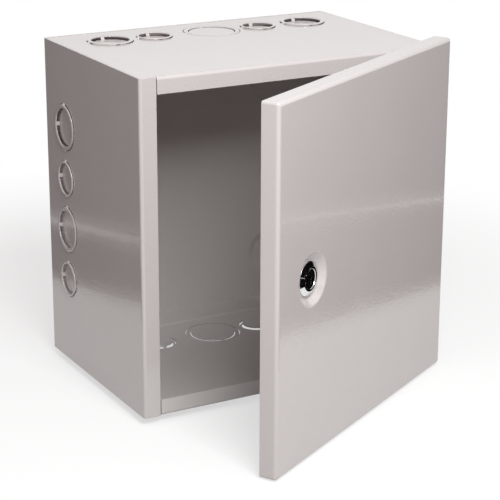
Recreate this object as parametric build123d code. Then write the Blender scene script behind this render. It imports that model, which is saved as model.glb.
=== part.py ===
from build123d import *
import os
from math import cos, radians, sin, sqrt

# Small wall-mounted steel enclosure with conduit knockouts, a hinged pan door and a key lock.
# Millimetres. X to the right as the front is seen, Y towards the wall, Z up.
# The origin is on the wall plane, in the middle of the four mounting holes.

# Body shell
BODY_WIDTH = 300.0
BODY_HEIGHT = 305.0
BODY_DEPTH = 205.0
SHEET = 1.5
BEND_OUTSIDE = 3.0
FLAT_SLIVER = 0.01
JAMB_WIDTH = 16.0
CAP_FLANGE = 15.0
REAR_FLANGE = 15.0
JAMB_SLIT = 0.7
CORNER_RELIEF = 3.0

# Wall mounting dimples, pressed back out of the rear wall
MOUNT_SPACING_X = 176.0
MOUNT_SPACING_Z = 180.0
MOUNT_HOLE_RADIUS = 3.5
DIMPLE_RISE = 2.0
DIMPLE_FLAT_RADIUS = 15.0
DIMPLE_RADIUS = 21.0

# Knockouts: a ring struck outwards round a disc struck inwards, held by small ties
SMALL_RING = 34.5
SMALL_DISC = 28.2
LARGE_RING = 43.7
LARGE_DISC = 34.5
BIG_RING = 54.5
BIG_DISC = 43.7
SHEAR_GAP = 0.6
RING_RISE = 1.6
DISC_DROP = 1.8
BIG_RING_RISE = 0.5
BIG_DISC_DROP = 0.5
TIE_WIDTH = 3.6
TIE_BITE = 0.8
KNOCKOUT_FROM_BACK = 44.5
SIDE_PITCH = 48.8
SIDE_ROW_SHIFT = 3.5
CAP_LARGE_LEFT = -102.4
CAP_SMALL_LEFT = -57.6
CAP_BIG = 2.4
CAP_SMALL_RIGHT = 52.2
CAP_LARGE_RIGHT = 101.6

# Door pan
DOOR_OVERHANG = 6.0
DOOR_SHEET = 1.5
DOOR_DEPTH = 16.5
DOOR_FACE_GAP = 1.0
DOOR_BEND_OUTSIDE = 3.5
DOOR_CORNER_RADIUS = 1.2
REST_OPEN_ANGLE = 30.0

# Drawn dish round the lock
LOCK_FROM_SIDE = 51.0
LOCK_HEIGHT = 0.0
DISH_RADIUS = 23.5
DISH_FLOOR_RADIUS = 17.5
DISH_DEPTH = 5.2
DISH_LIP_RADIUS = 2.5

# Lock
HEAD_RADIUS = 15.0
HEAD_THICKNESS = 3.2
HEAD_EDGE = 1.0
HEAD_RIM_RADIUS = 10.6
HEAD_RIM_ROUND = 1.5
BARREL_RADIUS = 9.5
BARREL_FLATS = 16.0
BARREL_LENGTH = 17.0
PLUG_RADIUS = 6.5
PLUG_FACE_RADIUS = 8.6
PLUG_FACE_THICKNESS = 1.4
PLUG_FACE_DEPTH = 0.5
KEYWAY_WIDTH = 2.0
KEYWAY_HEIGHT = 8.6
KEYWAY_DEPTH = 11.0
RUNNING_GAP = 0.05
TAIL_SQUARE = 8.0
TAIL_LENGTH = 3.4
NUT_FLATS = 24.0
NUT_THICKNESS = 4.0
WASHER_RADIUS = 14.0
WASHER_THICKNESS = 1.0
STOP_WASHER_RADIUS = 8.5
STOP_WASHER_THICKNESS = 1.0
CAM_THICKNESS = 2.0
CAM_WIDTH = 14.0
CAM_JAMB_GAP = 0.8
CAM_OVERLAP = 9.0
CAM_CRANK_START = 12.0
CAM_CRANK_END = 30.0
CAM_CORNER_RADIUS = 3.5
SCREW_RADIUS = 2.0
SCREW_HEAD_RADIUS = 4.5
SCREW_HEAD_HEIGHT = 2.6
SCREW_LENGTH = 7.0
SCREW_HEAD_ROUND = 0.9
SCREW_WASHER_RADIUS = 6.5
SCREW_WASHER_THICKNESS = 0.8
SCREW_RECESS_WIDTH = 1.0
SCREW_RECESS_DEPTH = 1.2

# Continuous hinge, outside the right side and under the door's lip
PIN_RADIUS = 1.5
KNUCKLE_WALL = 1.45
LEAF_THICKNESS = 1.5
KNUCKLE_COUNT = 11
KNUCKLE_PITCH = 26.0
KNUCKLE_GAP = 0.4
KNUCKLE_SIDE_GAP = 0.3
KNUCKLE_LIP_GAP = 0.3
LEAF_SHORT_OF_PIN = 0.5
LEAF_MARGIN = 1.5
PIN_PROUD = 0.6

# Bonding stud inside the rear wall, in the lower left corner
STUD_FROM_SIDE = 42.0
STUD_FROM_BOTTOM = 34.5
STUD_RADIUS = 2.5
STUD_LENGTH = 14.0
STUD_WELD_RADIUS = 4.0
STUD_WELD_HEIGHT = 1.0
STUD_NUT_FLATS = 8.0
STUD_NUT_HEIGHT = 4.0
STUD_WASHER_RADIUS = 5.0
STUD_WASHER_THICKNESS = 1.0

# Places worked out from the sizes above
BACK = -DIMPLE_RISE
FRONT = BACK - BODY_DEPTH
HALF_W = BODY_WIDTH / 2
HALF_H = BODY_HEIGHT / 2
KNOCKOUT_Y = BACK - KNOCKOUT_FROM_BACK
DOOR_FACE = FRONT - DOOR_FACE_GAP - DOOR_SHEET
DOOR_REAR = DOOR_FACE + DOOR_DEPTH
LOCK_X = -HALF_W + LOCK_FROM_SIDE
DISH_FLOOR = DOOR_FACE + DISH_DEPTH
BORE_RADIUS = PIN_RADIUS + RUNNING_GAP
KNUCKLE_RADIUS = BORE_RADIUS + KNUCKLE_WALL
HINGE_X = HALF_W + KNUCKLE_SIDE_GAP + KNUCKLE_RADIUS
LIP_INNER_X = HALF_W + DOOR_OVERHANG - DOOR_SHEET
LIP_CLEARANCE = KNUCKLE_RADIUS + KNUCKLE_LIP_GAP
HINGE_Y = DOOR_REAR + sqrt(LIP_CLEARANCE**2 - (LIP_INNER_X - HINGE_X) ** 2)
HINGE_LENGTH = KNUCKLE_COUNT * KNUCKLE_PITCH
STUD_X = -HALF_W + STUD_FROM_SIDE
STUD_Z = -HALF_H + STUD_FROM_BOTTOM


def rounded_box_plan(width, near_y, far_y, radius):
    """A rectangle in plan with its four corners rounded."""
    plan = Pos(0, (near_y + far_y) / 2) * Rectangle(width, far_y - near_y)
    return fillet(plan.vertices(), radius)


def knockout(ring, disc, rise, drop):
    """The bore to cut in a wall and the ring, disc and ties that fill it, with the outside at z = 0."""
    ring_outside = ring / 2 - SHEAR_GAP
    ring_inside = disc / 2 + SHEAR_GAP / 2
    disc_edge = disc / 2 - SHEAR_GAP / 2
    bore = Pos(0, 0, -SHEET / 2) * Cylinder(ring / 2, SHEET * 3)
    wall_middle = -SHEET / 2
    ring_middle = wall_middle + rise
    disc_middle = wall_middle - drop
    filling = Pos(0, 0, ring_middle) * (Cylinder(ring_outside, SHEET) - Cylinder(ring_inside, SHEET))
    filling += Pos(0, 0, disc_middle) * Cylinder(disc_edge, SHEET)
    tie_length = SHEAR_GAP + 2 * TIE_BITE
    outer_tie = Box(tie_length, TIE_WIDTH, SHEET + rise / 2)
    inner_tie = Box(TIE_WIDTH, tie_length, SHEET + (rise + drop) / 2)
    for side in (-1, 1):
        outer_place = side * (ring - SHEAR_GAP) / 2
        filling += Pos(outer_place, 0, (ring_middle + wall_middle) / 2) * outer_tie
        filling += Pos(0, side * disc / 2, (ring_middle + disc_middle) / 2) * inner_tie
    return bore, filling


def punch(wall, plane, ring, disc, rise=RING_RISE, drop=DISC_DROP):
    """A wall with one knockout struck in it; the plane lies on the wall's outside."""
    bore, filling = knockout(ring, disc, rise, drop)
    return wall - plane * bore + plane * filling


def wrapper():
    """Sides and back folded from one sheet, with a jamb turned in along each front edge."""
    inside = BEND_OUTSIDE - SHEET
    plan = rounded_box_plan(BODY_WIDTH, FRONT, BACK, BEND_OUTSIDE)
    plan -= rounded_box_plan(BODY_WIDTH - 2 * SHEET, FRONT + SHEET, BACK - SHEET, inside)
    plan -= Pos(0, FRONT) * Rectangle(BODY_WIDTH - 2 * JAMB_WIDTH, 4 * SHEET)
    shell = Pos(0, 0, -HALF_H) * extrude(plan, BODY_HEIGHT)
    for side in (-1, 1):
        for step, sizes in enumerate(((SMALL_RING, SMALL_DISC), (LARGE_RING, LARGE_DISC)) * 2):
            height = SIDE_ROW_SHIFT + (step - 1.5) * SIDE_PITCH
            place = Plane((side * HALF_W, KNOCKOUT_Y, height), x_dir=(0, 0, 1), z_dir=(side, 0, 0))
            shell = punch(shell, place, *sizes)
    for x in (-MOUNT_SPACING_X / 2, MOUNT_SPACING_X / 2):
        for z in (-MOUNT_SPACING_Z / 2, MOUNT_SPACING_Z / 2):
            place = Plane((x, 0, z), x_dir=(1, 0, 0), z_dir=(0, 1, 0))
            shell -= place * Pos(0, 0, -DIMPLE_RISE) * Cylinder(DIMPLE_RADIUS, SHEET * 3)
            shell += place * dimple()
    return shell


def dimple():
    """One mounting dimple with its bolt hole: its flat top is at z = 0, on the wall plane."""
    section = Polyline(
        (MOUNT_HOLE_RADIUS, 0),
        (DIMPLE_FLAT_RADIUS, 0),
        (DIMPLE_RADIUS - SHEET, -DIMPLE_RISE),
        (DIMPLE_RADIUS, -DIMPLE_RISE),
        (DIMPLE_RADIUS, -DIMPLE_RISE - SHEET),
        (DIMPLE_RADIUS - SHEET, -DIMPLE_RISE - SHEET),
        (DIMPLE_FLAT_RADIUS, -SHEET),
        (MOUNT_HOLE_RADIUS, -SHEET),
        close=True,
    )
    return revolve(Plane.XZ * make_face(section), Axis.Z)


def cap(side):
    """Top (side 1) or bottom (side -1): a panel with a front flange between the jambs and a rear flange."""
    inside = BEND_OUTSIDE - SHEET
    panel_width = BODY_WIDTH - 2 * SHEET
    panel = extrude(rounded_box_plan(panel_width, FRONT + SHEET, BACK - SHEET, inside), SHEET)
    panel = Pos(0, 0, HALF_H - SHEET) * panel
    rear_width = panel_width - 2 * CORNER_RELIEF
    panel -= Pos(0, BACK - SHEET, HALF_H) * Box(rear_width, 2 * BEND_OUTSIDE, 4 * SHEET)
    rear = angle_section(REAR_FLANGE, BACK - SHEET, -1)
    panel += Pos(-rear_width / 2, 0, 0) * extrude(rear, rear_width)
    front_width = BODY_WIDTH - 2 * (JAMB_WIDTH + JAMB_SLIT)
    panel -= Pos(0, FRONT, HALF_H) * Box(front_width, 2 * BEND_OUTSIDE, 4 * SHEET)
    front = angle_section(CAP_FLANGE, FRONT, 1)
    panel += Pos(-front_width / 2, 0, 0) * extrude(front, front_width)
    for x, sizes in (
        (CAP_LARGE_LEFT, (LARGE_RING, LARGE_DISC)),
        (CAP_SMALL_LEFT, (SMALL_RING, SMALL_DISC)),
        (CAP_BIG, (BIG_RING, BIG_DISC, BIG_RING_RISE, BIG_DISC_DROP)),
        (CAP_SMALL_RIGHT, (SMALL_RING, SMALL_DISC)),
        (CAP_LARGE_RIGHT, (LARGE_RING, LARGE_DISC)),
    ):
        place = Plane((x, KNOCKOUT_Y, HALF_H), x_dir=(1, 0, 0), z_dir=(0, 0, 1))
        panel = punch(panel, place, *sizes)
    if side < 0:
        panel = mirror(panel, Plane.XY)
    return panel


def angle_section(drop, face_y, inward):
    """A bend from the panel down to a flange, seen along X; face_y is the flange's outer face."""
    top = HALF_H
    outline = Polyline(
        (face_y + inward * BEND_OUTSIDE, top),
        (face_y, top),
        (face_y, top - drop),
        (face_y + inward * SHEET, top - drop),
        (face_y + inward * SHEET, top - SHEET),
        (face_y + inward * BEND_OUTSIDE, top - SHEET),
        close=True,
    )
    face = make_face(outline)
    outer = face.vertices().sort_by_distance((face_y, top))[0]
    face = fillet(outer, BEND_OUTSIDE - FLAT_SLIVER)
    inner = face.vertices().sort_by_distance((face_y + inward * SHEET, top - SHEET))[0]
    face = fillet(inner, BEND_OUTSIDE - SHEET - FLAT_SLIVER)
    return Plane.YZ * face


def door_pan():
    """The door, closed: one pan with four lips and a dish drawn in round the lock."""
    width = BODY_WIDTH + 2 * DOOR_OVERHANG
    height = BODY_HEIGHT + 2 * DOOR_OVERHANG
    middle = (DOOR_FACE + DOOR_REAR) / 2
    outside = Pos(0, middle, 0) * Box(width, DOOR_DEPTH, height)
    outside = fillet(outside.edges().filter_by(Axis.Y), DOOR_CORNER_RADIUS)
    outside = fillet(outside.faces().sort_by(Axis.Y)[0].edges(), DOOR_BEND_OUTSIDE)
    inner_width = width - 2 * DOOR_SHEET
    inner_height = height - 2 * DOOR_SHEET
    inside = Pos(0, middle + DOOR_SHEET, 0) * Box(inner_width, DOOR_DEPTH, inner_height)
    inside = fillet(inside.faces().sort_by(Axis.Y)[0].edges(), DOOR_BEND_OUTSIDE - DOOR_SHEET)
    pan = outside - inside
    place = Plane((LOCK_X, DOOR_FACE, LOCK_HEIGHT), x_dir=(1, 0, 0), z_dir=(0, -1, 0))
    pan -= place * Cylinder(DISH_RADIUS + DISH_LIP_RADIUS, 4 * DOOR_SHEET)
    pan += place * dish()
    barrel = Cylinder(BARREL_RADIUS + RUNNING_GAP, 4 * DISH_DEPTH)
    barrel &= Box(BARREL_FLATS + 2 * RUNNING_GAP, 4 * BARREL_RADIUS, 4 * DISH_DEPTH)
    return pan - place * barrel


def dish():
    """The drawn dish, with the door's face at z = 0 and the floor below it."""
    rim = DISH_RADIUS + DISH_LIP_RADIUS
    section = Polyline(
        (0, -DISH_DEPTH),
        (DISH_FLOOR_RADIUS, -DISH_DEPTH),
        (DISH_RADIUS, 0),
        (rim, 0),
        (rim, -DOOR_SHEET),
        (DISH_RADIUS - DOOR_SHEET / 3, -DOOR_SHEET),
        (DISH_FLOOR_RADIUS - DOOR_SHEET / 3, -DISH_DEPTH - DOOR_SHEET),
        (0, -DISH_DEPTH - DOOR_SHEET),
        close=True,
    )
    face = make_face(section)
    for corner, radius in (
        ((DISH_RADIUS, 0), DISH_LIP_RADIUS),
        ((DISH_FLOOR_RADIUS, -DISH_DEPTH), DISH_LIP_RADIUS - DOOR_SHEET / 2),
    ):
        vertex = face.vertices().sort_by_distance(corner)[0]
        face = fillet(vertex, radius)
    return revolve(Plane.XZ * face, Axis.Z)


def lock_place():
    """The lock's own plane: on the dish floor, z towards the person at the door."""
    return Plane((LOCK_X, DISH_FLOOR, LOCK_HEIGHT), x_dir=(1, 0, 0), z_dir=(0, -1, 0))


def lock_housing():
    """Plated head and threaded barrel with two flats, bored for the plug."""
    head = Polyline(
        (0, 0),
        (HEAD_RADIUS, 0),
        (HEAD_RADIUS, HEAD_EDGE),
        (HEAD_RIM_RADIUS, HEAD_THICKNESS),
        (0, HEAD_THICKNESS),
        close=True,
    )
    face = make_face(head)
    face = fillet(face.vertices().sort_by_distance((HEAD_RIM_RADIUS, HEAD_THICKNESS))[0], HEAD_RIM_ROUND)
    body = revolve(Plane.XZ * face, Axis.Z)
    barrel = Pos(0, 0, -BARREL_LENGTH / 2) * Cylinder(BARREL_RADIUS, BARREL_LENGTH)
    barrel &= Pos(0, 0, -BARREL_LENGTH / 2) * Box(BARREL_FLATS, 4 * BARREL_RADIUS, BARREL_LENGTH)
    body += barrel
    seat = HEAD_THICKNESS - PLUG_FACE_DEPTH - PLUG_FACE_THICKNESS - RUNNING_GAP
    body -= Pos(0, 0, seat + HEAD_THICKNESS / 2) * Cylinder(PLUG_FACE_RADIUS + RUNNING_GAP, HEAD_THICKNESS)
    return body - Cylinder(PLUG_RADIUS + RUNNING_GAP, 4 * BARREL_LENGTH)


def lock_plug():
    """The keyed plug: round face with a keyway, round shank and a square tail for the cam."""
    face_top = HEAD_THICKNESS - PLUG_FACE_DEPTH
    face_bottom = face_top - PLUG_FACE_THICKNESS
    plug = Pos(0, 0, (face_top + face_bottom) / 2) * Cylinder(PLUG_FACE_RADIUS, PLUG_FACE_THICKNESS)
    shank_end = -BARREL_LENGTH - RUNNING_GAP
    plug += Pos(0, 0, (face_top + shank_end) / 2) * Cylinder(PLUG_RADIUS, face_top - shank_end)
    plug += Pos(0, 0, shank_end - TAIL_LENGTH / 2) * Box(TAIL_SQUARE, TAIL_SQUARE, TAIL_LENGTH)
    plug -= Pos(0, 0, face_top) * Box(KEYWAY_WIDTH, KEYWAY_HEIGHT, 2 * KEYWAY_DEPTH)
    screw_hole = Cylinder(SCREW_RADIUS + RUNNING_GAP, 2 * (SCREW_LENGTH + RUNNING_GAP))
    plug -= Pos(0, 0, shank_end - TAIL_LENGTH) * screw_hole
    return plug


def lock_nut():
    """Hexagon nut that pulls the lock against the dish floor."""
    plan = RegularPolygon(NUT_FLATS / 2, 6, major_radius=False)
    plan -= barrel_hole()
    top = -DOOR_SHEET - WASHER_THICKNESS
    return Pos(0, 0, top - NUT_THICKNESS) * extrude(plan, NUT_THICKNESS)


def lock_washer():
    """Plain washer between the door and the nut."""
    plan = Circle(WASHER_RADIUS) - barrel_hole()
    return Pos(0, 0, -DOOR_SHEET - WASHER_THICKNESS) * extrude(plan, WASHER_THICKNESS)


def barrel_hole():
    """Round hole with two flats that slips over the lock's barrel."""
    return Circle(BARREL_RADIUS + RUNNING_GAP) & Rectangle(BARREL_FLATS + 2 * RUNNING_GAP, 4 * BARREL_RADIUS)


def stop_washer():
    """Washer keyed on the square tail, behind the barrel."""
    plan = Circle(STOP_WASHER_RADIUS)
    plan -= Rectangle(TAIL_SQUARE + 2 * RUNNING_GAP, TAIL_SQUARE + 2 * RUNNING_GAP)
    top = -BARREL_LENGTH - RUNNING_GAP
    return Pos(0, 0, top - STOP_WASHER_THICKNESS) * extrude(plan, STOP_WASHER_THICKNESS)


def lock_cam():
    """Cranked cam on the square tail; hanging down, its tip lies just behind the plane of the jambs."""
    cam_front = -BARREL_LENGTH - RUNNING_GAP - STOP_WASHER_THICKNESS
    tip_front = DISH_FLOOR - (FRONT + SHEET + CAM_JAMB_GAP)
    reach = LOCK_FROM_SIDE - JAMB_WIDTH + CAM_OVERLAP
    section = Polyline(
        (CAM_WIDTH / 2, cam_front),
        (-CAM_CRANK_START, cam_front),
        (-CAM_CRANK_END, tip_front),
        (-reach, tip_front),
        (-reach, tip_front - CAM_THICKNESS),
        (-CAM_CRANK_END - CAM_THICKNESS / 2, tip_front - CAM_THICKNESS),
        (-CAM_CRANK_START - CAM_THICKNESS / 2, cam_front - CAM_THICKNESS),
        (CAM_WIDTH / 2, cam_front - CAM_THICKNESS),
        close=True,
    )
    strip = Pos(-CAM_WIDTH / 2, 0, 0) * extrude(Plane.YZ * make_face(section), CAM_WIDTH)
    square = TAIL_SQUARE + 2 * RUNNING_GAP
    strip -= Pos(0, 0, cam_front) * Box(square, square, 4 * CAM_THICKNESS)
    ends = strip.edges().filter_by(Axis.Z)
    return fillet(ends.group_by(Axis.Y)[0] + ends.group_by(Axis.Y)[-1], CAM_CORNER_RADIUS)


def cam_screw():
    """Slotted screw that holds the cam on the tail."""
    tail_end = -BARREL_LENGTH - RUNNING_GAP - TAIL_LENGTH
    seat = tail_end - SCREW_WASHER_THICKNESS
    head = Pos(0, 0, seat - SCREW_HEAD_HEIGHT / 2) * Cylinder(SCREW_HEAD_RADIUS, SCREW_HEAD_HEIGHT)
    head = fillet(head.edges().sort_by(Axis.Z)[0], SCREW_HEAD_ROUND)
    low = seat - SCREW_HEAD_HEIGHT
    head -= Pos(0, 0, low) * Box(2 * SCREW_HEAD_RADIUS, SCREW_RECESS_WIDTH, 2 * SCREW_RECESS_DEPTH)
    shank = Cylinder(SCREW_RADIUS, SCREW_LENGTH + SCREW_RECESS_DEPTH)
    return head + Pos(0, 0, seat + (SCREW_LENGTH - SCREW_RECESS_DEPTH) / 2) * shank


def screw_washer():
    """Washer between the tail's end and the screw's head; it keeps the cam on."""
    tail_end = -BARREL_LENGTH - RUNNING_GAP - TAIL_LENGTH
    plan = Circle(SCREW_WASHER_RADIUS) - Circle(SCREW_RADIUS + RUNNING_GAP)
    return Pos(0, 0, tail_end - SCREW_WASHER_THICKNESS) * extrude(plan, SCREW_WASHER_THICKNESS)


def knuckle_spans(first):
    """Lowest and highest point of every second knuckle, counted from the bottom."""
    spans = []
    for index in range(first, KNUCKLE_COUNT, 2):
        low = -HINGE_LENGTH / 2 + index * KNUCKLE_PITCH + KNUCKLE_GAP / 2
        spans.append((low, low + KNUCKLE_PITCH - KNUCKLE_GAP))
    return spans


def hinge_leaf(first, near_x, front_y, end_x):
    """One leaf with its knuckles: near_x and end_x are its faces, front_y its free edge."""
    leaf_rear = HINGE_Y - KNUCKLE_RADIUS - KNUCKLE_GAP
    width = leaf_rear - front_y
    thickness = end_x - near_x
    middle_x = (near_x + end_x) / 2
    leaf = Pos(middle_x, (front_y + leaf_rear) / 2, 0) * Box(thickness, width, HINGE_LENGTH)
    for low, high in knuckle_spans(first):
        middle = (low + high) / 2
        length = high - low
        leaf += Pos(HINGE_X, HINGE_Y, middle) * Cylinder(KNUCKLE_RADIUS, length)
        root_rear = HINGE_Y - LEAF_SHORT_OF_PIN
        root = Box(thickness, root_rear - leaf_rear + LEAF_SHORT_OF_PIN, length)
        leaf += Pos(middle_x, (leaf_rear + root_rear - LEAF_SHORT_OF_PIN) / 2, middle) * root
    return leaf - Pos(HINGE_X, HINGE_Y, 0) * Cylinder(BORE_RADIUS, 2 * HINGE_LENGTH)


def hinge_pin():
    """Plain pin through every knuckle."""
    return Pos(HINGE_X, HINGE_Y, 0) * Cylinder(PIN_RADIUS, HINGE_LENGTH + 2 * PIN_PROUD)


def stud_place():
    """On the rear wall's inside, z into the enclosure."""
    return Plane((STUD_X, BACK - SHEET, STUD_Z), x_dir=(1, 0, 0), z_dir=(0, -1, 0))


def ground_stud():
    """Bonding stud, welded to the rear wall."""
    stud = Pos(0, 0, STUD_LENGTH / 2) * Cylinder(STUD_RADIUS, STUD_LENGTH)
    return stud + Pos(0, 0, STUD_WELD_HEIGHT / 2) * Cylinder(STUD_WELD_RADIUS, STUD_WELD_HEIGHT)


def ground_washer():
    """Washer on the bonding stud."""
    plan = Circle(STUD_WASHER_RADIUS) - Circle(STUD_RADIUS + RUNNING_GAP)
    return Pos(0, 0, STUD_WELD_HEIGHT) * extrude(plan, STUD_WASHER_THICKNESS)


def ground_nut():
    """Hexagon nut on the bonding stud."""
    plan = RegularPolygon(STUD_NUT_FLATS / 2, 6, major_radius=False) - Circle(STUD_RADIUS + RUNNING_GAP)
    return Pos(0, 0, STUD_WELD_HEIGHT + STUD_WASHER_THICKNESS) * extrude(plan, STUD_NUT_HEIGHT)


def swing(shape):
    """Turns a piece of the closed door to where the door stands ajar."""
    hinge = Axis((HINGE_X, HINGE_Y, 0), (0, 0, 1))
    return shape.rotate(hinge, REST_OPEN_ANGLE)


body_leaf_front = FRONT + BEND_OUTSIDE
door_leaf_front = DOOR_FACE + DOOR_BEND_OUTSIDE + LEAF_MARGIN
parts = {
    "wrapper": wrapper(),
    "top_cap": cap(1),
    "bottom_cap": cap(-1),
    "hinge_body_leaf": hinge_leaf(0, HALF_W, body_leaf_front, HALF_W + LEAF_THICKNESS),
    "hinge_pin": hinge_pin(),
    "ground_stud": stud_place() * ground_stud(),
    "ground_washer": stud_place() * ground_washer(),
    "ground_nut": stud_place() * ground_nut(),
    "door_pan": swing(door_pan()),
    "hinge_door_leaf": swing(hinge_leaf(1, LIP_INNER_X - LEAF_THICKNESS, door_leaf_front, LIP_INNER_X)),
    "lock_housing": swing(lock_place() * lock_housing()),
    "lock_washer": swing(lock_place() * lock_washer()),
    "lock_nut": swing(lock_place() * lock_nut()),
    "lock_plug": swing(lock_place() * lock_plug()),
    "stop_washer": swing(lock_place() * stop_washer()),
    "lock_cam": swing(lock_place() * lock_cam()),
    "screw_washer": swing(lock_place() * screw_washer()),
    "cam_screw": swing(lock_place() * cam_screw()),
}

os.makedirs("parts", exist_ok=True)
for name, solid in parts.items():
    export_step(solid, "parts/" + name + ".step")

angle = radians(REST_OPEN_ANGLE)
lock_dx = LOCK_X - HINGE_X
lock_dy = DISH_FLOOR - HINGE_Y
print("hinge axis", round(HINGE_X, 3), round(HINGE_Y, 3))
print("lock at rest", round(HINGE_X + lock_dx * cos(angle) - lock_dy * sin(angle), 3),
      round(HINGE_Y + lock_dx * sin(angle) + lock_dy * cos(angle), 3), LOCK_HEIGHT)
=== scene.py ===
from math import cos, hypot, pi, radians, sin, tan

import bmesh
import bpy
from mathutils import Matrix, Quaternion, Vector


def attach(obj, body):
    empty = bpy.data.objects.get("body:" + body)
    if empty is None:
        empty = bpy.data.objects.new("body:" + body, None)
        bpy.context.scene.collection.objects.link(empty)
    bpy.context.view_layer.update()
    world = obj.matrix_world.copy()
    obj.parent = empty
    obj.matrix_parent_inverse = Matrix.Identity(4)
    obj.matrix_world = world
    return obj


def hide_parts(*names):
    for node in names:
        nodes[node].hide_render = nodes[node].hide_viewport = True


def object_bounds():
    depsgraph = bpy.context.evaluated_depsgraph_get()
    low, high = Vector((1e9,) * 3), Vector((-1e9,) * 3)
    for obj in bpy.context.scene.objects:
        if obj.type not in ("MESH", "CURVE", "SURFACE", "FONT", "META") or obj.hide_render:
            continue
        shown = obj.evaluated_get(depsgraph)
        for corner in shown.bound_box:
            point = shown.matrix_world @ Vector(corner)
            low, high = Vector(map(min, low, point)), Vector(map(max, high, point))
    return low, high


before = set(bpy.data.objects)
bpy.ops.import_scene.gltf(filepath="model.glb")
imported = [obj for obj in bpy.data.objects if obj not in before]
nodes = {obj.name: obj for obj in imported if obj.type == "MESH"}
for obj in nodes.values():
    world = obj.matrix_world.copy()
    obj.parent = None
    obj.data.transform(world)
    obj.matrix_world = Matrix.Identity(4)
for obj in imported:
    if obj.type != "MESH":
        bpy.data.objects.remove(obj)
cad_low, cad_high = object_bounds()


# Where the photograph was taken from. The box's own edges fix the place and the focal length,
# so the camera needs no lens shift. It looks down on the box from its front left.
CAMERA_PLACE = Vector((-0.748969, -1.475690, 0.456506))
CAMERA_TURN = radians(-29.044)
CAMERA_DROP = radians(17.895)
CAMERA_ROLL = radians(0.187)
FOCAL_IN_PIXELS = 1726.5
FRAME_IN_PIXELS = 500.0
SENSOR_WIDTH = 36.0
NEAREST_SEEN = 0.05
FARTHEST_SEEN = 50.0


def direction(turn, rise):
    """A unit vector: turn 0 points to the front and 90 degrees to the right, rise is above the floor."""
    return Vector((sin(turn) * cos(rise), -cos(turn) * cos(rise), sin(rise)))


camera_data = bpy.data.cameras.new("camera")
camera_data.sensor_width = SENSOR_WIDTH
camera_data.lens = FOCAL_IN_PIXELS / FRAME_IN_PIXELS * SENSOR_WIDTH
camera_data.clip_start = NEAREST_SEEN
camera_data.clip_end = FARTHEST_SEEN
camera = bpy.data.objects.new("camera", camera_data)
camera.location = CAMERA_PLACE
camera.rotation_mode = "QUATERNION"
level = (-direction(CAMERA_TURN, CAMERA_DROP)).to_track_quat("-Z", "Y")
camera.rotation_quaternion = level @ Quaternion((0, 0, 1), CAMERA_ROLL)
bpy.context.scene.collection.objects.link(camera)
bpy.context.scene.camera = camera
bpy.context.scene.view_settings.view_transform = "Standard"


# The lamps: a wide soft box overhead and another high up to the photographer's right, both near
# enough that the light falls off a little towards the floor. Between them and the room, a surface
# that faces the light shows about its own colour.
OVERHEAD_TURN = radians(-14)
OVERHEAD_RISE = radians(76)
OVERHEAD_AWAY = 1.25
OVERHEAD_SIZE = 0.9
OVERHEAD_POWER = 0.9
OVERHEAD_COLOUR = (0.94, 1.0, 1.0)
FRONT_TURN = radians(-14)
FRONT_RISE = radians(41)
FRONT_AWAY = 1.30
FRONT_SIZE = 0.55
FRONT_POWER = 14.4
FRONT_COLOUR = (0.97, 1.0, 1.0)
LAMPS_AIM = Vector((0.0, -0.15, 0.0))

for name, turn, rise, away, size, power, colour in (
    (
        "overhead lamp",
        OVERHEAD_TURN,
        OVERHEAD_RISE,
        OVERHEAD_AWAY,
        OVERHEAD_SIZE,
        OVERHEAD_POWER,
        OVERHEAD_COLOUR,
    ),
    ("front lamp", FRONT_TURN, FRONT_RISE, FRONT_AWAY, FRONT_SIZE, FRONT_POWER, FRONT_COLOUR),
):
    lamp_data = bpy.data.lights.new(name, "AREA")
    lamp_data.shape = "SQUARE"
    lamp_data.size = size
    lamp_data.energy = power
    lamp_data.color = colour
    lamp = bpy.data.objects.new(name, lamp_data)
    lamp.location = LAMPS_AIM + direction(turn, rise) * away
    lamp.rotation_mode = "QUATERNION"
    lamp.rotation_quaternion = direction(turn, rise).to_track_quat("Z", "Y")
    bpy.context.scene.collection.objects.link(lamp)


# The floor: a pale sheet just under the door's lowest edge. The camera and mirror-like surfaces see
# it white, partly by its own glow, other light sees it grey, and it keeps the object's shadow.
FLOOR_BELOW = 0.0015
FLOOR_REACH = 8.0
FLOOR_WHITE = (1.0, 1.0, 1.0, 1)
FLOOR_GREY = (0.40, 0.385, 0.38, 1)
FLOOR_GLOW = 0.6
FLOOR_FADE = (0.30, 0.70)


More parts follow.
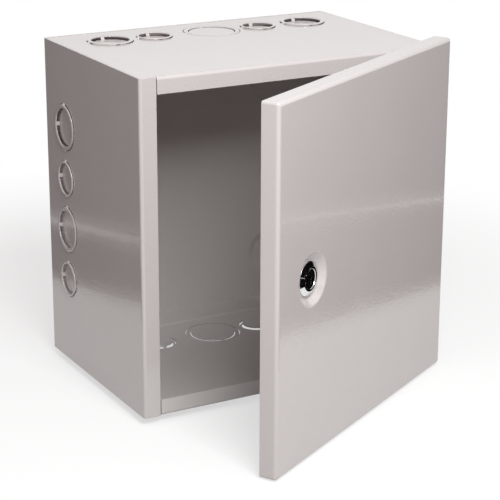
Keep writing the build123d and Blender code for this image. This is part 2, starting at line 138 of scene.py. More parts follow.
class Wire:
    """One socket of a node tree. Arithmetic on wires adds the Math nodes that it needs."""

    def __init__(self, tree, socket=None):
        self.tree = tree
        self.socket = socket

    def node(self, kind, settings=None, sockets=None, output=None):
        """Adds a node, sets its settings and then its sockets, and gives back one of its outputs."""
        made = self.tree.nodes.new(kind)
        for name, value in (settings or {}).items():
            if name == "stops":
                for stop, (place, shade) in zip(made.color_ramp.elements, value):
                    stop.position = place
                    stop.color = (shade, shade, shade, 1)
            else:
                setattr(made, name, value)
        for name, value in (sockets or {}).items():
            fits = [socket for socket in made.inputs if name in (socket.identifier, socket.name)]
            socket = made.inputs[name] if isinstance(name, int) else fits[0]
            for one in value if isinstance(value, list) else [value]:
                if isinstance(one, Wire):
                    self.tree.links.new(one.socket, socket)
                else:
                    socket.default_value = one
        found = [socket for socket in made.outputs if output in (socket.identifier, socket.name)]
        return Wire(self.tree, (found or list(made.outputs) or [None])[0])

    def math(self, operation, first, second=0.0):
        return self.node("ShaderNodeMath", {"operation": operation}, {0: first, 1: second})

    def __add__(self, other):
        return self.math("ADD", self, other)

    def __radd__(self, other):
        return self.math("ADD", other, self)

    def __sub__(self, other):
        return self.math("SUBTRACT", self, other)

    def __rsub__(self, other):
        return self.math("SUBTRACT", other, self)

    def __mul__(self, other):
        return self.math("MULTIPLY", self, other)

    def __rmul__(self, other):
        return self.math("MULTIPLY", other, self)

    def __truediv__(self, other):
        return self.math("DIVIDE", self, other)

    def __rtruediv__(self, other):
        return self.math("DIVIDE", other, self)

    def mixed(self, first, second):
        """The first colour where this wire is 0, the second where it is 1."""
        sockets = {"Factor_Float": self, "A_Color": first, "B_Color": second}
        return self.node("ShaderNodeMix", {"data_type": "RGBA"}, sockets, "Result_Color")


def blank_material(name):
    """A new material with an empty tree, and a wire that carries the object's own coordinates."""
    material = bpy.data.materials.new(name)
    material.use_nodes = True
    material.node_tree.nodes.clear()
    tree = Wire(material.node_tree)
    return material, tree, tree.node("ShaderNodeTexCoord", output="Object")


def seen_directly(tree):
    """1 for rays that come from the camera, or from it by way of gloss or glass, and else 0."""
    camera_ray = tree.node("ShaderNodeLightPath", output="Is Camera Ray")
    gloss_ray = tree.node("ShaderNodeLightPath", output="Is Glossy Ray")
    glass_ray = tree.node("ShaderNodeLightPath", output="Is Transmission Ray")
    either = tree.math("MAXIMUM", camera_ray, gloss_ray)
    return tree.math("MAXIMUM", either, glass_ray)


floor_level = cad_low.z - FLOOR_BELOW
corners = [(-FLOOR_REACH, -FLOOR_REACH), (FLOOR_REACH, -FLOOR_REACH)]
corners += [(FLOOR_REACH, FLOOR_REACH), (-FLOOR_REACH, FLOOR_REACH)]
floor_mesh = bpy.data.meshes.new("floor")
floor_mesh.from_pydata([(x, y, floor_level) for x, y in corners], [], [(0, 1, 2, 3)])
floor = bpy.data.objects.new("floor", floor_mesh)
bpy.context.scene.collection.objects.link(floor)

floor_material, tree, where = blank_material("pale floor")
seen = seen_directly(tree)
colour = seen.mixed(FLOOR_GREY, FLOOR_WHITE)
lit = tree.node("ShaderNodeBsdfDiffuse", None, {"Color": colour})
glow = tree.node("ShaderNodeEmission", None, {"Color": FLOOR_WHITE, "Strength": 1.0})
reach = tree.node("ShaderNodeVectorMath", {"operation": "LENGTH"}, {0: where}, "Value")
sockets = {"Value": reach, "From Min": FLOOR_FADE[0], "From Max": FLOOR_FADE[1]}
far = tree.node("ShaderNodeMapRange", {"interpolation_type": "SMOOTHSTEP"}, sockets)
own_light = (far * (1 - FLOOR_GLOW) + FLOOR_GLOW) * seen
surface = tree.node("ShaderNodeMixShader", None, {0: own_light, 1: lit, 2: glow})
tree.node("ShaderNodeOutputMaterial", None, {"Surface": surface})
floor_mesh.materials.append(floor_material)


# The room: an even, slightly warm light from all round. To look at, straight or in a reflection, it is
# plain white, so that the picture has a white background.
ROOM_COLOUR = (1.0, 0.92, 0.91, 1)
ROOM_STRENGTH = 0.43
ROOM_WHITE = (1, 1, 1, 1)

world = bpy.data.worlds.new("room")
bpy.context.scene.world = world
world.use_nodes = True
world.node_tree.nodes.clear()
tree = Wire(world.node_tree)
dim = tree.node("ShaderNodeBackground", None, {"Color": ROOM_COLOUR, "Strength": ROOM_STRENGTH})
white = tree.node("ShaderNodeBackground", None, {"Color": ROOM_WHITE, "Strength": 1.0})
surface = tree.node("ShaderNodeMixShader", None, {0: seen_directly(tree), 1: dim, 2: white})
tree.node("ShaderNodeOutputWorld", None, {"Surface": surface})


# Two dark cards stand on the floor, one behind the box to its left and one to the right of the door, each
# with a narrow slit. Only gloss shows them: they give the side and the door the edge and the thin streak
# of their reflections.
CARD_COLOUR = (0.012, 0.011, 0.011, 1)
CARD_TOP = 0.285
CARD_REACH = 0.30
LEFT_CARD_BACK = Vector((-0.2374, 0.2097))
LEFT_CARD_FRONT = Vector((-0.2872, 0.0868))
RIGHT_CARD_BACK = Vector((0.391, -0.191))
RIGHT_CARD_FRONT = Vector((0.243, -0.351))
LEFT_SLIT = (0.067, 0.069, 0.008)
RIGHT_SLIT = (0.100, 0.120, 0.0045)

card_material, tree, where = blank_material("dark card")
surface = tree.node("ShaderNodeBsdfDiffuse", None, {"Color": CARD_COLOUR})
tree.node("ShaderNodeOutputMaterial", None, {"Surface": surface})
for name, back, front, (slit_back, slit_front, slit_height) in (
    ("left_card", LEFT_CARD_BACK, LEFT_CARD_FRONT, LEFT_SLIT),
    ("right_card", RIGHT_CARD_BACK, RIGHT_CARD_FRONT, RIGHT_SLIT),
):
    beyond = CARD_REACH / (front - back).length
    corners = []
    for share in (-beyond, 1 + beyond):
        foot = back.lerp(front, share)
        slit = slit_back + (slit_front - slit_back) * share
        for up in (0.0, slit - slit_height / 2, slit + slit_height / 2, CARD_TOP):
            corners.append((foot.x, foot.y, floor_level + up))
    card_mesh = bpy.data.meshes.new(name)
    card_mesh.from_pydata(corners, [], [(0, 1, 5, 4), (2, 3, 7, 6)])
    card_mesh.materials.append(card_material)
    card = bpy.data.objects.new(name, card_mesh)
    card.visible_camera = False
    card.visible_diffuse = False
    card.visible_shadow = False
    card.visible_volume_scatter = False
    bpy.context.scene.collection.objects.link(card)


# The wrapper: the left side, the back and the right side are one steel sheet, folded four times, with a
# narrow jamb turned in along each front edge. The knockout holes are punched while it is flat, and four
# dimples are pressed back, so that the box stands just off the wall. Powder coated light grey.
MM = 0.001
BODY_WIDTH = 300 * MM
BODY_HEIGHT = 305 * MM
BODY_DEPTH = 205 * MM
SHEET = 1.5 * MM
BEND_RADIUS = 3 * MM
BEND_STEPS = 8
JAMB_WIDTH = 16 * MM
BOLT_SPACING_X = 176 * MM
BOLT_SPACING_Z = 180 * MM
BOLT_HOLE_RADIUS = 3.5 * MM
DIMPLE_RISE = 2 * MM
DIMPLE_FLAT_RADIUS = 15 * MM
DIMPLE_RADIUS = 21 * MM
DIMPLE_FOOT_ROUND = 5 * MM
DIMPLE_TOP_ROUND = 4 * MM
DIMPLE_BORDER = 2.5 * MM
SMALL_RING = 34.5 * MM
LARGE_RING = 43.7 * MM
KNOCKOUT_FROM_BACK = 44.5 * MM
SIDE_ROW_FIRST = -69.7 * MM
SIDE_ROW_PITCH = 48.8 * MM
PUNCH_STEPS = 96
PUNCH_BORDER = 0.8 * MM
ROUNDING_STEPS = 5
SCORE_DISTANCE = 0.001 * MM
PAINTED_EDGE = 0.3 * MM
EDGE_STEPS = 2
SHARP_ANGLE = radians(38)
EVEN_WEIGHT = 60
BACK = -DIMPLE_RISE
FRONT = BACK - BODY_DEPTH

PAINT_COLOUR = (0.618, 0.573, 0.563, 1)
PAINT_THIN = (0.590, 0.546, 0.535, 1)
PAINT_DUST = (0.655, 0.615, 0.590, 1)
CLOUDS_PER_METRE = 16.0
SPECKS_PER_METRE = 1500.0
SPECK_STOPS = ((0.60, 0), (0.74, 1))
DUST_SHARE = 0.35
PEEL_SIZE = 2.0 * MM
PEEL_HEIGHT = 0.140 * MM
WAVE_SIZE = 70 * MM
WAVE_HEIGHT = 0.30 * MM
PAINT_ROUGHNESS = 0.055
PAINT_ROUGHNESS_SPREAD = 0.05
PAINT_IOR = 1.65
PAINT_COAT = 0.25
PAINT_COAT_ROUGHNESS = 0.05


def eased(points, radii):
    """A line of points with its corners rounded; a radius of 0 leaves a corner as it is."""
    line = []
    for number, (point, radius) in enumerate(zip(points, radii)):
        corner = Vector(point)
        if radius == 0:
            line.append(corner)
            continue
        behind = (Vector(points[number - 1]) - corner).normalized()
        ahead = (Vector(points[(number + 1) % len(points)]) - corner).normalized()
        half = behind.angle(ahead) / 2
        sweep = pi - 2 * half
        centre = corner + (behind + ahead).normalized() * (radius / sin(half))
        first = corner + behind * (radius / tan(half)) - centre
        last = corner + ahead * (radius / tan(half)) - centre
        for step in range(ROUNDING_STEPS + 1):
            turned = sweep * step / ROUNDING_STEPS
            line.append(centre + (first * sin(sweep - turned) + last * sin(turned)) / sin(sweep))
    return line


def flat_sheet(outline, punched):
    """A sheet as it leaves the punch: filled, with round holes or pressed forms. Each is a centre and
    rows of (radius, height) from the sheet inwards."""
    sheet = bmesh.new()
    loops = [[sheet.verts.new((x, y, 0)) for x, y in outline]]
    for centre, rows in punched:
        rings = []
        for radius, height in rows:
            ring = []
            for step in range(PUNCH_STEPS):
                angle = 2 * pi * step / PUNCH_STEPS
                place = (centre[0] + radius * cos(angle), centre[1] + radius * sin(angle), height)
                ring.append(sheet.verts.new(place))
            rings.append(ring)
        loops.append(rings[0])
        for outer, inner in zip(rings, rings[1:]):
            for step in range(PUNCH_STEPS):
                after = (step + 1) % PUNCH_STEPS
                sheet.faces.new((outer[step], outer[after], inner[after], inner[step]))
    rims = []
    for loop in loops:
        for first, second in zip(loop, loop[1:] + loop[:1]):
            rims.append(sheet.edges.get((first, second)) or sheet.edges.new((first, second)))
    bmesh.ops.triangle_fill(sheet, use_beauty=True, use_dissolve=False, edges=rims)
    sheet.normal_update()
    bmesh.ops.reverse_faces(sheet, faces=[face for face in sheet.faces if face.normal.z < 0])
    return sheet


def bend_cuts(flats):
    """How far along the sheet each bend starts, is bent part of the way, and ends."""
    cuts = []
    reached = 0
    for flat in flats[:-1]:
        reached += flat
        cuts += [reached + BEND_RADIUS * pi / 2 * step / BEND_STEPS for step in range(BEND_STEPS + 1)]
        reached = cuts[-1]
    return cuts


def along_bends(start, heading, flats, distance, height):
    """Where a point of the flat sheet lands: flats joined by quarter bends to the right, height outwards."""
    spot = Vector(start)
    angle = heading
    for number, flat in enumerate(flats):
        straight = distance if number == len(flats) - 1 else min(distance, flat)
        spot += Vector((cos(angle), sin(angle))) * straight
        distance -= straight
        if distance <= 0:
            break
        centre = spot + Vector((sin(angle), -cos(angle))) * BEND_RADIUS
        turned = min(distance / BEND_RADIUS, pi / 2)
        angle -= turned
        spot = centre - Vector((sin(angle), -cos(angle))) * BEND_RADIUS
        distance -= turned * BEND_RADIUS
        if turned < pi / 2:
            break
    return spot + Vector((-sin(angle), cos(angle))) * height


def fold(sheet, cuts, across, place):
    """Scores the flat sheet across the bends and moves every point to where the folding takes it."""
    for cut in cuts:
        everything = sheet.verts[:] + sheet.edges[:] + sheet.faces[:]
        bmesh.ops.bisect_plane(
            sheet, geom=everything, dist=SCORE_DISTANCE, plane_co=across * cut, plane_no=across
        )
    for vert in sheet.verts:
        vert.co = place(vert.co)


def ease_edges(piece, width):
    """Rounds the sharp edges a little, as paint, plating and tumbling do."""
    rounding = piece.modifiers.new("eased edges", "BEVEL")
    rounding.width = width
    rounding.segments = EDGE_STEPS
    rounding.limit_method = "ANGLE"
    rounding.angle_limit = SHARP_ANGLE
    rounding.use_clamp_overlap = True
    evened = piece.modifiers.new("even shading", "WEIGHTED_NORMAL")
    evened.keep_sharp = True
    evened.weight = EVEN_WEIGHT


def painted(name, shape, body, material, thickness=0.0, edge=PAINTED_EDGE):
    """Turns a shape into a powder coated piece of a body: walls so thick inwards, and eased edges."""
    mesh = bpy.data.meshes.new(name)
    shape.to_mesh(mesh)
    shape.free()
    mesh.shade_smooth()
    mesh.materials.append(material)
    piece = bpy.data.objects.new(name, mesh)
    bpy.context.scene.collection.objects.link(piece)
    if thickness:
        wall = piece.modifiers.new("wall", "SOLIDIFY")
        wall.thickness = thickness
        wall.offset = -1
        wall.use_even_offset = True
    ease_edges(piece, edge)
    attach(piece, body)
    return piece


def powder_coat(name):
    """Baked powder paint: a warm grey with a glossy skin, fine orange peel and a faintly wavy sheet."""
    material, tree, where = blank_material(name)
    cloud = tree.node("ShaderNodeTexNoise", None, {"Vector": where, "Scale": CLOUDS_PER_METRE, "Detail": 4.0})
    speck = tree.node("ShaderNodeTexNoise", None, {"Vector": where, "Scale": SPECKS_PER_METRE, "Detail": 1.0})
    peel = tree.node("ShaderNodeTexNoise", None, {"Vector": where, "Scale": 1 / PEEL_SIZE, "Detail": 1.0})
    waves = tree.node("ShaderNodeTexNoise", None, {"Vector": where, "Scale": 1 / WAVE_SIZE, "Detail": 0.0})
    dust = tree.node("ShaderNodeValToRGB", {"stops": SPECK_STOPS}, {"Fac": speck})
    colour = (dust * DUST_SHARE).mixed(cloud.mixed(PAINT_COLOUR, PAINT_THIN), PAINT_DUST)
    height = peel * PEEL_HEIGHT + waves * WAVE_HEIGHT
    bump = tree.node("ShaderNodeBump", None, {"Height": height, "Strength": 1.0, "Distance": 1.0})
    sockets = {
        "Base Color": colour,
        "Roughness": cloud * PAINT_ROUGHNESS_SPREAD + PAINT_ROUGHNESS,
        "Normal": bump,
        "IOR": PAINT_IOR,
        "Coat Weight": PAINT_COAT,
        "Coat Roughness": PAINT_COAT_ROUGHNESS,
    }
    surface = tree.node("ShaderNodeBsdfPrincipled", None, sockets)
    tree.node("ShaderNodeOutputMaterial", None, {"Surface": surface})
    return material


body_paint = powder_coat("body_powder_coat")

jamb_flat = JAMB_WIDTH - BEND_RADIUS
side_flat = BODY_DEPTH - 2 * BEND_RADIUS
back_flat = BODY_WIDTH - 2 * BEND_RADIUS
wrapper_flats = (jamb_flat, side_flat, back_flat, side_flat, jamb_flat)
bend_length = BEND_RADIUS * pi / 2
sheet_length = sum(wrapper_flats) + 4 * bend_length
left_row = jamb_flat + bend_length + side_flat + BEND_RADIUS - KNOCKOUT_FROM_BACK
back_middle = sheet_length / 2

wrapper_punched = []
for row in (left_row, sheet_length - left_row):
    for number, ring in enumerate((SMALL_RING, LARGE_RING, SMALL_RING, LARGE_RING)):
        centre = (row, SIDE_ROW_FIRST + number * SIDE_ROW_PITCH)
        wrapper_punched.append((centre, ((ring / 2 + PUNCH_BORDER, 0), (ring / 2, 0))))
dimple_line = eased(
    (
        (DIMPLE_RADIUS + DIMPLE_BORDER, 0),
        (DIMPLE_RADIUS, 0),
        (DIMPLE_FLAT_RADIUS, DIMPLE_RISE),
        (BOLT_HOLE_RADIUS, DIMPLE_RISE),
    ),
    (0, DIMPLE_FOOT_ROUND, DIMPLE_TOP_ROUND, 0),
)
for x in (-BOLT_SPACING_X / 2, BOLT_SPACING_X / 2):
    for z in (-BOLT_SPACING_Z / 2, BOLT_SPACING_Z / 2):
        wrapper_punched.append(((back_middle + x, z), dimple_line))


def fold_wrapper(point):
    start = (-BODY_WIDTH / 2 + JAMB_WIDTH, FRONT)
    x, y = along_bends(start, pi, wrapper_flats, point.x, point.z)
    return Vector((x, y, point.y))


half_height = BODY_HEIGHT / 2
outline = ((0, -half_height), (sheet_length, -half_height), (sheet_length, half_height), (0, half_height))
sheet = flat_sheet(outline, wrapper_punched)
bmesh.ops.reverse_faces(sheet, faces=sheet.faces)
fold(sheet, bend_cuts(wrapper_flats), Vector((1, 0, 0)), fold_wrapper)
wrapper = painted("wrapper_sheet", sheet, "body", body_paint, SHEET)
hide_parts("wrapper")


# The caps: the top and the bottom are flat panels that sit between the wrapper's edges, welded there and
# ground flush. Each has a flange turned in along the door opening, between the jambs, with a thin dark
# slit at both ends, and another against the back.
CAP_WIDTH = BODY_WIDTH - 2 * SHEET
CAP_FLANGE = 15 * MM
JAMB_SLIT = 0.7 * MM
REAR_RELIEF = 3 * MM
RELIEF_CUT = 0.5 * MM
EAR_ROUND = 1.4 * MM
CAP_LARGE = (-102.4 * MM, 101.6 * MM)
CAP_SMALL = (-57.6 * MM, 52.2 * MM)
CAP_BIG = (2.4 * MM,)
BIG_RING = 54.5 * MM

knockout_y = BACK - KNOCKOUT_FROM_BACK
flange_flat = CAP_FLANGE - BEND_RADIUS
panel_flat = BODY_DEPTH - SHEET - 2 * BEND_RADIUS
cap_flats = (flange_flat, panel_flat, flange_flat)
panel_start = flange_flat + bend_length
panel_end = panel_start + panel_flat
cap_length = panel_end + bend_length + flange_flat
half_front = BODY_WIDTH / 2 - JAMB_WIDTH - JAMB_SLIT
half_rear = CAP_WIDTH / 2 - REAR_RELIEF
half_cap = CAP_WIDTH / 2
front_ear = panel_start - BEND_RADIUS + SHEET
rear_ear = panel_end + BEND_RADIUS

right_edge = eased(
    (
        (half_front, 0),
        (half_front, panel_start),
        (half_front + JAMB_SLIT, panel_start),
        (half_front + JAMB_SLIT, front_ear),
        (half_cap, front_ear),
        (half_cap, rear_ear),
        (half_rear + RELIEF_CUT, rear_ear),
        (half_rear + RELIEF_CUT, panel_end),
        (half_rear, panel_end),
        (half_rear, cap_length),
    ),
    (0, 0, 0, 0, EAR_ROUND, EAR_ROUND, 0, 0, 0, 0),
)
left_edge = [(-x, along) for x, along in reversed(right_edge)]
cap_outline = [(x, along) for x, along in right_edge] + left_edge
cap_punched = []
for places, ring in ((CAP_LARGE, LARGE_RING), (CAP_SMALL, SMALL_RING), (CAP_BIG, BIG_RING)):
    for x in places:
        centre = (x, panel_start + knockout_y - (FRONT + BEND_RADIUS))
        cap_punched.append((centre, ((ring / 2 + PUNCH_BORDER, 0), (ring / 2, 0))))


def fold_top(point):
    """The panel and its two flanges; the ears beside the flanges stay flat."""
    if point.y < panel_start:
        ear = abs(point.x) > half_front + JAMB_SLIT / 2
    else:
        ear = abs(point.x) > half_rear + RELIEF_CUT / 2
    if ear or panel_start <= point.y <= panel_end:
        return Vector((point.x, FRONT + BEND_RADIUS + point.y - panel_start, half_height + point.z))
    y, z = along_bends((FRONT, half_height - CAP_FLANGE), pi / 2, cap_flats, point.y, point.z)
    return Vector((point.x, y, z))


def fold_bottom(point):
    folded = fold_top(point)
    return Vector((folded.x, folded.y, -folded.z))


for name, node, place in (
    ("top_panel", "top_cap", fold_top),
    ("bottom_panel", "bottom_cap", fold_bottom),
):
    sheet = flat_sheet(cap_outline, cap_punched)
    if place == fold_bottom:
        bmesh.ops.reverse_faces(sheet, faces=sheet.faces)
    fold(sheet, bend_cuts(cap_flats), Vector((0, 1, 0)), place)
    panel = painted(name, sheet, "body", body_paint, SHEET)
    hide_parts(node)


# The knockouts: every hole in the walls is filled by a ring struck outwards round a disc struck inwards.
# Two small ties of the same sheet hold the ring in the wall and two hold the disc in the ring, so that
# either can be knocked out for a conduit. They were painted with the walls.
SMALL_DISC = 28.2 * MM
LARGE_DISC = 34.5 * MM
BIG_DISC = 43.7 * MM
SHEAR_GAP = 0.6 * MM
RING_RISE = 1.6 * MM
DISC_DROP = 1.8 * MM
BIG_RING_RISE = 0.5 * MM
BIG_DISC_DROP = 0.5 * MM
RING_ROUND_STEPS = 16
TIE_WIDTH = 3.6 * MM
TIE_BITE = 0.8 * MM
STRUCK_EDGE = 0.3 * MM


def knockout_tree():
    """Adds a row of knockouts to what comes in. Each is made flat, with the wall's outside at z = 0."""
    group = bpy.data.node_groups.new("struck_knockouts", "GeometryNodeTree")
    group.interface.new_socket("Geometry", in_out="OUTPUT", socket_type="NodeSocketGeometry")
    for name, kind in (
        ("Geometry", "NodeSocketGeometry"),
        ("First Place", "NodeSocketVector"),
        ("Step", "NodeSocketVector"),
        ("Count", "NodeSocketInt"),
        ("Turn", "NodeSocketVector"),
        ("Ring", "NodeSocketFloat"),
        ("Disc", "NodeSocketFloat"),
        ("Rise", "NodeSocketFloat"),
        ("Drop", "NodeSocketFloat"),
        ("Sheet", "NodeSocketFloat"),
        ("Gap", "NodeSocketFloat"),
        ("Round Steps", "NodeSocketInt"),
        ("Tie Width", "NodeSocketFloat"),
        ("Tie Bite", "NodeSocketFloat"),
        ("Material", "NodeSocketMaterial"),
    ):
        group.interface.new_socket(name, in_out="INPUT", socket_type=kind)
    tree = Wire(group)

    def given(name):
        return tree.node("NodeGroupInput", output=name)

    def vector(x=0.0, y=0.0, z=0.0):
        return tree.node("ShaderNodeCombineXYZ", None, {"X": x, "Y": y, "Z": z})

    def shifted(geometry, offset):
        return tree.node("GeometryNodeSetPosition", None, {"Geometry": geometry, "Offset": offset})

    sheet, gap = given("Sheet"), given("Gap")
    ring_outside = given("Ring") * 0.5 - gap
    ring_inside = given("Disc") * 0.5 + gap * 0.5
    disc_edge = given("Disc") * 0.5 - gap * 0.5
    wall_level = sheet * -0.5
    ring_level = wall_level + given("Rise")
    disc_level = wall_level - given("Drop")

    path_sizes = {"Resolution": PUNCH_STEPS, "Radius": (ring_outside + ring_inside) * 0.5}
    round_path = tree.node("GeometryNodeCurvePrimitiveCircle", {"mode": "RADIUS"}, path_sizes, "Curve")
    section_sizes = {"Resolution": given("Round Steps"), "Radius": 0.5}
    section = tree.node("GeometryNodeCurvePrimitiveCircle", {"mode": "RADIUS"}, section_sizes, "Curve")
    crowned = vector(ring_outside - ring_inside, sheet, 1.0)
    section = tree.node("GeometryNodeTransform", None, {"Geometry": section, "Scale": crowned})
    ring = tree.node("GeometryNodeCurveToMesh", None, {"Curve": round_path, "Profile Curve": section})
    ring = shifted(ring, vector(z=ring_level))
    disc_sizes = {"Vertices": PUNCH_STEPS, "Radius": disc_edge, "Depth": sheet}
    disc = tree.node("GeometryNodeMeshCylinder", {"fill_type": "NGON"}, disc_sizes, "Mesh")
    disc = shifted(disc, vector(z=disc_level))

    tie_length = gap + given("Tie Bite") * 2.0
    cube_size = vector(tie_length, given("Tie Width"), sheet)
    position = tree.node("GeometryNodeInputPosition")
    outward = tree.node("ShaderNodeSeparateXYZ", None, {"Vector": position}, "X") / tie_length + 0.5
    order = tree.node("GeometryNodeInputIndex")
    forms = [ring, disc]
    for reach, low, high, quarter in (
        ((given("Ring") - gap) * 0.5, ring_level, wall_level, 0.0),
        (given("Disc") * 0.5, disc_level, ring_level, pi / 2),
    ):
        cube_sizes = {"Size": cube_size, "Vertices X": 2, "Vertices Y": 2, "Vertices Z": 2}
        cube = tree.node("GeometryNodeMeshCube", None, cube_sizes, "Mesh")
        ramp = shifted(cube, vector(z=low + (high - low) * outward))
        start = vector(reach) if quarter == 0 else vector(0.0, reach)
        across = vector(reach * -2.0) if quarter == 0 else vector(0.0, reach * -2.0)
        ends = tree.node(
            "GeometryNodeMeshLine",
            {"mode": "OFFSET", "count_mode": "TOTAL"},
            {"Count": 2, "Start Location": start, "Offset": across},
        )
        facing = vector(z=order * pi + quarter)
        sockets = {"Points": ends, "Instance": ramp, "Rotation": facing}
        forms.append(tree.node("GeometryNodeInstanceOnPoints", None, sockets))
    knockout = tree.node("GeometryNodeJoinGeometry", None, {"Geometry": forms})

    row = tree.node(
        "GeometryNodeMeshLine",
        {"mode": "OFFSET", "count_mode": "TOTAL"},
        {"Count": given("Count"), "Start Location": given("First Place"), "Offset": given("Step")},
    )
    sockets = {"Points": row, "Instance": knockout, "Rotation": given("Turn")}
    placed = tree.node("GeometryNodeInstanceOnPoints", None, sockets)
    whole = tree.node("GeometryNodeJoinGeometry", None, {"Geometry": [given("Geometry"), placed]})
    whole = tree.node("GeometryNodeRealizeInstances", None, {"Geometry": whole})
    sockets = {"Geometry": whole, "Material": given("Material")}
    whole = tree.node("GeometryNodeSetMaterial", None, sockets)
    tree.node("NodeGroupOutput", None, {"Geometry": whole})
    return group


def grown(group, runs):
    """Evaluates a tree once for each set of inputs, one after another, and gives the plain result."""
    seed = bpy.data.objects.new("seed", bpy.data.meshes.new("seed"))
    bpy.context.scene.collection.objects.link(seed)
    for inputs in runs:
        growth = seed.modifiers.new("growth", "NODES")
        growth.node_group = group
        for item in group.interface.items_tree:
            if item.name in inputs:
                growth[item.identifier] = inputs[item.name]
    bpy.context.view_layer.update()
    evaluated = seed.evaluated_get(bpy.context.evaluated_depsgraph_get())
    mesh = bpy.data.meshes.new_from_object(evaluated)
    shape = bmesh.new()
    shape.from_mesh(mesh)
    bpy.data.objects.remove(seed)
    bpy.data.meshes.remove(mesh)
    return shape


knockouts = knockout_tree()
small_sizes = {"Ring": SMALL_RING, "Disc": SMALL_DISC, "Rise": RING_RISE, "Drop": DISC_DROP}
large_sizes = {"Ring": LARGE_RING, "Disc": LARGE_DISC, "Rise": RING_RISE, "Drop": DISC_DROP}
big_sizes = {"Ring": BIG_RING, "Disc": BIG_DISC, "Rise": BIG_RING_RISE, "Drop": BIG_DISC_DROP}
sheared = {
    "Sheet": SHEET,
    "Gap": SHEAR_GAP,
    "Round Steps": RING_ROUND_STEPS,
    "Tie Width": TIE_WIDTH,
    "Tie Bite": TIE_BITE,
    "Material": body_paint,
}
side_row = (
    (SIDE_ROW_FIRST, SIDE_ROW_FIRST + 2 * SIDE_ROW_PITCH, small_sizes),
    (SIDE_ROW_FIRST + SIDE_ROW_PITCH, SIDE_ROW_FIRST + 3 * SIDE_ROW_PITCH, large_sizes),
)
cap_row = (CAP_LARGE + (large_sizes,), CAP_SMALL + (small_sizes,), CAP_BIG * 2 + (big_sizes,))
for name, row_along, outwards, half_span, kinds in (
    ("knockouts_left", Vector((0, 0, 1)), Vector((-1, 0, 0)), BODY_WIDTH / 2, side_row),
    ("knockouts_right", Vector((0, 0, 1)), Vector((1, 0, 0)), BODY_WIDTH / 2, side_row),
    ("knockouts_top", Vector((1, 0, 0)), Vector((0, 0, 1)), half_height, cap_row),
    ("knockouts_bottom", Vector((1, 0, 0)), Vector((0, 0, -1)), half_height, cap_row),
):
    middle = Vector((0, knockout_y, 0)) + outwards * half_span
    turn = Matrix((row_along, outwards.cross(row_along), outwards)).transposed().to_euler()
    runs = []
    for first, last, sizes in kinds:
        runs.append(
            {
                "First Place": middle + row_along * first,
                "Step": row_along * (last - first),
                "Count": 1 if first == last else 2,
                "Turn": Vector(turn),
                **sizes,
                **sheared,
            }
        )
    painted(name, grown(knockouts, runs), "body", body_paint, 0.0, STRUCK_EDGE)


# The hinge: two steel leaves with rolled knuckles on one plain pin. One leaf is welded outside the right
# side, the other inside the door's lip, so that only the knuckles show. The pin is bright steel, and the
# leaves are painted with the box.
LEAF_EDGE = 0.2 * MM
PLATED_EDGE = 0.15 * MM
JOINED_WITHIN = 0.001 * MM
STEEL_BRIGHT = (0.60, 0.60, 0.61, 1)
STEEL_DULL = (0.50, 0.50, 0.51, 1)
STEEL_ROUGHNESS = 0.26
STEEL_SCRATCH = 0.005 * MM
SCRATCHES_PER_METRE = 500.0
SCRATCH_STRETCH = (1.0, 1.0, 14.0)
BLOOM_PER_METRE = 160.0
BLOOM_ROUGHNESS = 0.08


def plated(name, bright, dull, roughness, scratch):
    """Bare or plated metal: a bright skin with faint handling scratches and a thin dull bloom."""
    material, tree, where = blank_material(name)
    stretched = tree.node("ShaderNodeMapping", None, {"Vector": where, "Scale": SCRATCH_STRETCH})
    sockets = {"Vector": stretched, "Scale": SCRATCHES_PER_METRE, "Detail": 3.0}
    lines = tree.node("ShaderNodeTexNoise", None, sockets)
    bloom = tree.node("ShaderNodeTexNoise", None, {"Vector": where, "Scale": BLOOM_PER_METRE, "Detail": 4.0})
    sockets = {"Height": lines * scratch, "Strength": 1.0, "Distance": 1.0}
    bump = tree.node("ShaderNodeBump", None, sockets)
    sockets = {
        "Base Color": bloom.mixed(bright, dull),
        "Metallic": 1.0,
        "Roughness": bloom * BLOOM_ROUGHNESS + roughness,
        "Normal": bump,
    }
    surface = tree.node("ShaderNodeBsdfPrincipled", None, sockets)
    tree.node("ShaderNodeOutputMaterial", None, {"Surface": surface})
    return material


def finish(node, material, edge):
    """A part as it comes from the frame: its finish, its loose triangles joined, its edges eased."""
    piece = nodes[node]
    piece.data.materials.clear()
    piece.data.materials.append(material)
    piece.modifiers.new("joined", "WELD").merge_threshold = JOINED_WITHIN
    ease_edges(piece, edge)


steel = plated("bright_steel", STEEL_BRIGHT, STEEL_DULL, STEEL_ROUGHNESS, STEEL_SCRATCH)
finish("hinge_body_leaf", body_paint, LEAF_EDGE)
finish("hinge_door_leaf", body_paint, LEAF_EDGE)
finish("hinge_pin", steel, PLATED_EDGE)


# The bonding stud: a steel stud welded to the back inside the box, low on the left, for the earth wire.
# It carries a zinc plated washer and nut.
ZINC_BRIGHT = (0.68, 0.69, 0.70, 1)
ZINC_DULL = (0.55, 0.56, 0.58, 1)
ZINC_ROUGHNESS = 0.22
ZINC_SCRATCH = 0.004 * MM

zinc = plated("zinc_plate", ZINC_BRIGHT, ZINC_DULL, ZINC_ROUGHNESS, ZINC_SCRATCH)
finish("ground_stud", steel, PLATED_EDGE)
finish("ground_washer", zinc, PLATED_EDGE)
finish("ground_nut", zinc, PLATED_EDGE)


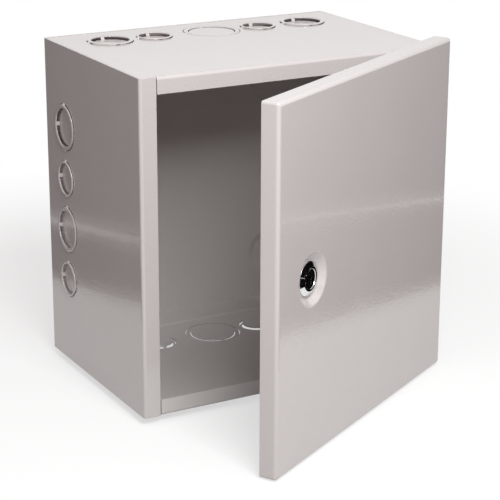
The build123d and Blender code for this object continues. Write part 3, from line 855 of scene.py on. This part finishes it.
# The door: a steel pan with four lips that close over the box, its corners welded and ground round. A
# shallow dish is drawn in where the lock sits. It stands ajar at the angle of the photograph.
DOOR_OVERHANG = 6 * MM
DOOR_GAP = 1 * MM
DOOR_SHEET = 1.5 * MM
DOOR_DEPTH = 16.5 * MM
DOOR_BEND = 3.5 * MM
DOOR_CORNER = 2.3 * MM
DOOR_FACE_CORNER = 0.7 * MM
DOOR_CORNER_STEPS = 6
DOOR_AJAR = radians(30)
HINGE_AXIS = Vector((153.3 * MM, -189.926 * MM, 0))
LOCK_FROM_SIDE = 51 * MM
DISH_RADIUS = 23.5 * MM
DISH_FLOOR_RADIUS = 17.5 * MM
DISH_DEPTH = 5.2 * MM
DISH_ROUND = 2.5 * MM
DISH_FLOOR_ROUND = 1.75 * MM
BARREL_RADIUS = 9.5 * MM
BARREL_FLATS = 16 * MM
BARREL_BORDER = 1 * MM
FLATS_BORDER = 1.5 * MM
RUNNING_GAP = 0.05 * MM

door_paint = powder_coat("door_powder_coat")
door_face = FRONT - DOOR_GAP - DOOR_SHEET
half_door = BODY_WIDTH / 2 + DOOR_OVERHANG
half_door_height = BODY_HEIGHT / 2 + DOOR_OVERHANG
lock_x = -BODY_WIDTH / 2 + LOCK_FROM_SIDE
to_axis = Matrix.Translation(HINGE_AXIS)
swing = to_axis @ Matrix.Rotation(DOOR_AJAR, 4, "Z") @ Matrix.Translation(-HINGE_AXIS)


def pan_ring(inset, corner):
    """The door's outline, so far inside its edge, with rounded corners, counterclockwise."""
    ring = []
    for quarter in range(4):
        side_x = (1, -1, -1, 1)[quarter]
        side_z = (1, 1, -1, -1)[quarter]
        centre_x = side_x * (half_door - inset - corner)
        centre_z = side_z * (half_door_height - inset - corner)
        for step in range(DOOR_CORNER_STEPS + 1):
            angle = (quarter + step / DOOR_CORNER_STEPS) * pi / 2
            ring.append((centre_x + corner * cos(angle), centre_z + corner * sin(angle)))
    return ring


hole = BARREL_RADIUS + RUNNING_GAP
dish_line = eased(
    (
        (DISH_RADIUS + 2 * DISH_ROUND, 0),
        (DISH_RADIUS, 0),
        (DISH_FLOOR_RADIUS, -DISH_DEPTH),
        (hole + BARREL_BORDER, -DISH_DEPTH),
        (hole, -DISH_DEPTH),
    ),
    (0, DISH_ROUND, DISH_FLOOR_ROUND, 0, 0),
)
face_ring = pan_ring(DOOR_BEND, DOOR_FACE_CORNER)
sheet = flat_sheet(face_ring, [((lock_x, 0), dish_line)])
for vert in sheet.verts:
    from_lock = hypot(vert.co.x - lock_x, vert.co.y)
    if from_lock < hole + FLATS_BORDER:
        reach = BARREL_FLATS / 2 + RUNNING_GAP + max(0, from_lock - hole)
        vert.co.x = lock_x + max(-reach, min(reach, vert.co.x - lock_x))
bend_rows = []
for step in range(1, BEND_STEPS + 1):
    angle = step / BEND_STEPS * pi / 2
    inset = DOOR_BEND * (1 - sin(angle))
    corner = DOOR_CORNER + (DOOR_FACE_CORNER - DOOR_CORNER) * inset / DOOR_BEND
    bend_rows.append((inset, corner, -DOOR_BEND * (1 - cos(angle))))
bend_rows.append((0, DOOR_CORNER, -DOOR_DEPTH))
sheet.verts.ensure_lookup_table()
inner = sheet.verts[: len(face_ring)]
for inset, corner, height in bend_rows:
    outer = [sheet.verts.new((x, z, height)) for x, z in pan_ring(inset, corner)]
    for step in range(len(outer)):
        after = (step + 1) % len(outer)
        sheet.faces.new((inner[step], outer[step], outer[after], inner[after]))
    inner = outer
for vert in sheet.verts:
    vert.co = swing @ Vector((vert.co.x, door_face - vert.co.z, vert.co.y))
door = painted("door_sheet", sheet, "door", door_paint, DOOR_SHEET)
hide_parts("door_pan")


# The lock: a chromed die-cast head and threaded barrel with two flats, held in the dish by a nut on a
# washer. Its plug turns a cranked cam of plated steel behind the jamb, with a stop washer and a screw.
CHROME_BRIGHT = (0.80, 0.80, 0.80, 1)
CHROME_DULL = (0.70, 0.70, 0.70, 1)
CHROME_ROUGHNESS = 0.04
CHROME_SCRATCH = 0.001 * MM

chrome = plated("lock_chrome", CHROME_BRIGHT, CHROME_DULL, CHROME_ROUGHNESS, CHROME_SCRATCH)
for node in ("lock_housing", "lock_plug"):
    finish(node, chrome, PLATED_EDGE)
for node in ("lock_washer", "lock_nut", "stop_washer", "lock_cam", "screw_washer", "cam_screw"):
    finish(node, zinc, PLATED_EDGE)
